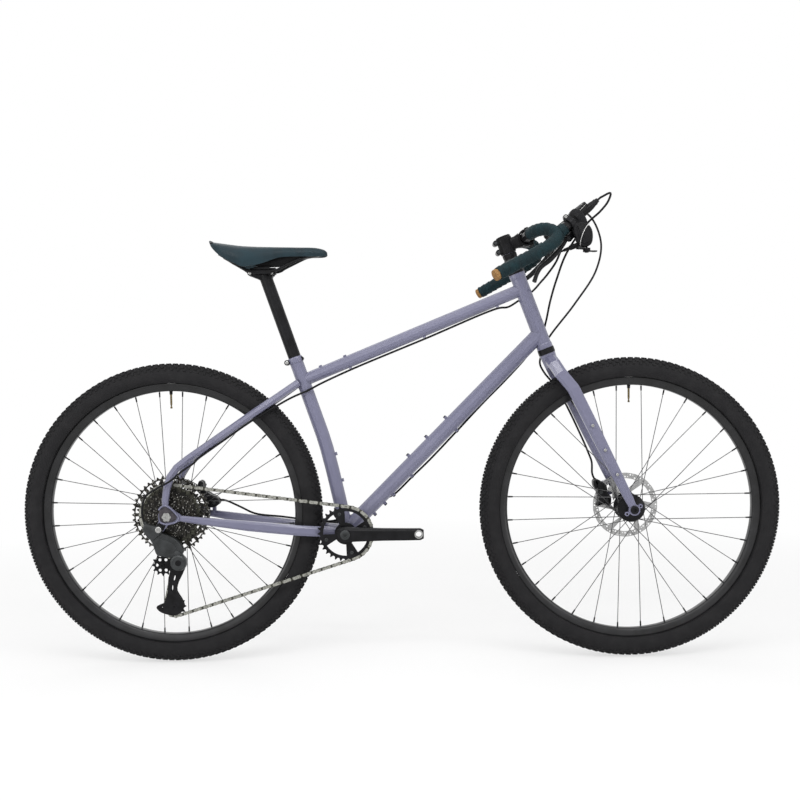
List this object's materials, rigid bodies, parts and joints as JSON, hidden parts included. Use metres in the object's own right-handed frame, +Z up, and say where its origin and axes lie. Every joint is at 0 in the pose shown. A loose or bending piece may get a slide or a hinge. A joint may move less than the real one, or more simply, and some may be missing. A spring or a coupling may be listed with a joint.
{
  "type": "bicycle",
  "caption": "Rigid off-road bicycle: bent-tube frame and fork, knobby tyres, swept taped bar, disc brakes, chain drive with derailleur, and a slung saddle.",
  "frame": {"origin": "on the ground midway between the two axles, in the middle of the bicycle", "axes": "+X forward towards the front wheel, +Y to the rider's left, +Z up"},
  "size_m": [1.845, 0.5196, 1.0991],
  "materials": {
    "lilac_paint": "gloss lilac paint on steel tube",
    "black_alloy": "satin black anodised alloy",
    "black_plastic": "matt black plastic and hose skin",
    "grey_alloy": "dark grey satin alloy",
    "silver_steel": "ground stainless steel",
    "chain_steel": "plated chain steel with a greenish cast",
    "tyre_rubber": "matt black rubber",
    "teal_tape": "dark teal soft wound tape",
    "teal_rubber": "dark teal vulcanised rubber top",
    "tan_cork": "pressed cork"
  },
  "bodies": {
    "frame": {"head_tube": "lilac_paint", "top_tube": "lilac_paint", "down_tube": "lilac_paint", "seat_tube": "lilac_paint", "bottom_bracket_shell": "lilac_paint", "right_chainstay": "lilac_paint", "left_chainstay": "lilac_paint", "right_seatstay": "lilac_paint", "left_seatstay": "lilac_paint", "seat_clamp": "black_alloy", "upper_headset_cup": "black_alloy", "lower_headset_cup": "black_alloy", "bottom_bracket": "black_alloy", "rear_axle": "silver_steel", "rear_caliper": "black_alloy", "chain": "chain_steel", "rear_brake_hose": "black_plastic", "shift_housing": "black_plastic", "derailleur_body": "grey_alloy"},
    "steering": {"fork": "lilac_paint", "headset_spacers": "black_alloy", "stem": "black_alloy", "stem_faceplate": "black_alloy", "top_cap": "black_alloy", "handlebar": "black_alloy", "right_tape": "teal_tape", "left_tape": "teal_tape", "right_end_plug": "tan_cork", "left_end_plug": "tan_cork", "right_brake_body": "black_alloy", "left_brake_body": "black_alloy", "shifter_body": "black_plastic", "front_axle": "black_alloy", "front_caliper": "black_alloy", "front_brake_hose": "black_plastic"},
    "right_brake_lever": {"right_brake_lever": "black_alloy"},
    "left_brake_lever": {"left_brake_lever": "black_alloy"},
    "shift_thumb_lever": {"shift_thumb_lever": "black_plastic"},
    "shift_release_lever": {"shift_release_lever": "black_plastic"},
    "front_wheel": {"front_tyre": "tyre_rubber", "front_rim": "black_alloy", "front_hub": "black_alloy", "front_rotor": "silver_steel"},
    "rear_wheel": {"rear_tyre": "tyre_rubber", "rear_rim": "black_alloy", "rear_hub": "black_alloy", "rear_rotor": "silver_steel"},
    "cassette": {"cassette": "black_alloy"},
    "crankset": {"drive_crank": "black_alloy", "plain_crank": "black_alloy", "chainring": "black_alloy"},
    "derailleur_link": {"derailleur_link": "grey_alloy"},
    "cage_knuckle": {"cage_knuckle": "black_alloy"},
    "derailleur_cage": {"derailleur_cage": "black_alloy"},
    "guide_pulley": {"guide_pulley": "black_plastic"},
    "tension_pulley": {"tension_pulley": "black_plastic"},
    "seatpost": {"seatpost": "black_alloy", "saddle_clamp": "black_alloy"},
    "saddle": {"saddle_cover": "teal_rubber", "saddle_rails": "black_alloy"}
  },
  "joints": [
    {"name": "steering", "type": "hinge", "parent": "frame", "child": "steering", "pos_m": [0.50782, 0, 0.3477], "axis": [-0.3518, 0, 0.9361], "range_deg": [-75, 75], "deforming": ["rear_brake_hose", "shift_housing"]},
    {"name": "right_brake_lever", "type": "hinge", "parent": "steering", "child": "right_brake_lever", "pos_m": [0.38519, -0.146, 0.999], "axis": [-0.5764, 0.8163, 0.0373], "range_deg": [0, 8.5], "stiffness_Nm_per_rad": 1, "springref_deg": -8.59},
    {"name": "left_brake_lever", "type": "hinge", "parent": "steering", "child": "left_brake_lever", "pos_m": [0.38519, 0.146, 0.999], "axis": [0.5764, 0.8163, -0.0373], "range_deg": [0, 8.5], "stiffness_Nm_per_rad": 1, "springref_deg": -8.59},
    {"name": "shift_thumb_lever", "type": "hinge", "parent": "steering", "child": "shift_thumb_lever", "pos_m": [0.42769, -0.158, 0.973], "axis": [0, 0, 1], "range_deg": [0, 35], "stiffness_Nm_per_rad": 0.4, "springref_deg": -5.73},
    {"name": "shift_release_lever", "type": "hinge", "parent": "steering", "child": "shift_release_lever", "pos_m": [0.42769, -0.158, 0.969], "axis": [0, 0, -1], "range_deg": [0, 12], "stiffness_Nm_per_rad": 0.4, "springref_deg": -5.73},
    {"name": "front_wheel", "type": "hinge", "parent": "steering", "child": "front_wheel", "pos_m": [0.5565, 0, 0.366], "axis": [0, 1, 0], "continuous": true},
    {"name": "rear_wheel", "type": "hinge", "parent": "frame", "child": "rear_wheel", "pos_m": [-0.5565, 0, 0.366], "axis": [0, 1, 0], "continuous": true},
    {"name": "cassette", "type": "hinge", "parent": "frame", "child": "cassette", "pos_m": [-0.5565, 0, 0.366], "axis": [0, 1, 0], "continuous": true, "deforming": ["chain"]},
    {"name": "crank", "type": "hinge", "parent": "frame", "child": "crankset", "pos_m": [-0.134, 0, 0.317], "axis": [0, 1, 0], "continuous": true, "deforming": ["chain"]},
    {"name": "link_pivot", "type": "hinge", "parent": "frame", "child": "derailleur_link", "pos_m": [-0.594, -0.0845, 0.322], "axis": [0.6934, 0, 0.7206], "range_deg": [-23, 6], "deforming": ["chain"]},
    {"name": "knuckle_pivot", "type": "hinge", "parent": "derailleur_link", "child": "cage_knuckle", "pos_m": [-0.541, -0.064, 0.271], "axis": [0.6934, 0, 0.7206], "range_deg": [-6, 23]},
    {"name": "cage_pivot", "type": "hinge", "parent": "cage_knuckle", "child": "derailleur_cage", "pos_m": [-0.534, -0.062, 0.254], "axis": [0, -1, 0], "range_deg": [-8, 45], "stiffness_Nm_per_rad": 1.2, "deforming": ["chain"]},
    {"name": "guide_pulley", "type": "hinge", "parent": "derailleur_cage", "child": "guide_pulley", "pos_m": [-0.578, -0.0386, 0.244], "axis": [0, 1, 0], "continuous": true},
    {"name": "tension_pulley", "type": "hinge", "parent": "derailleur_cage", "child": "tension_pulley", "pos_m": [-0.551, -0.0386, 0.143], "axis": [0, 1, 0], "continuous": true},
    {"name": "seatpost_height", "type": "slide", "parent": "frame", "child": "seatpost", "axis": [-0.3239, 0, 0.9461], "range_m": [-0.065, 0.045]},
    {"name": "saddle_setback", "type": "slide", "parent": "seatpost", "child": "saddle", "axis": [1, 0, 0], "range_m": [-0.015, 0.015]}
  ],
  "couplings": [
    {"joint": "cassette", "follows": "crank", "ratio": 0.88889},
    {"joint": "guide_pulley", "follows": "crank", "ratio": -2.6667},
    {"joint": "tension_pulley", "follows": "crank", "ratio": 2.6667},
    {"joint": "knuckle_pivot", "follows": "link_pivot", "ratio": -1}
  ]
}
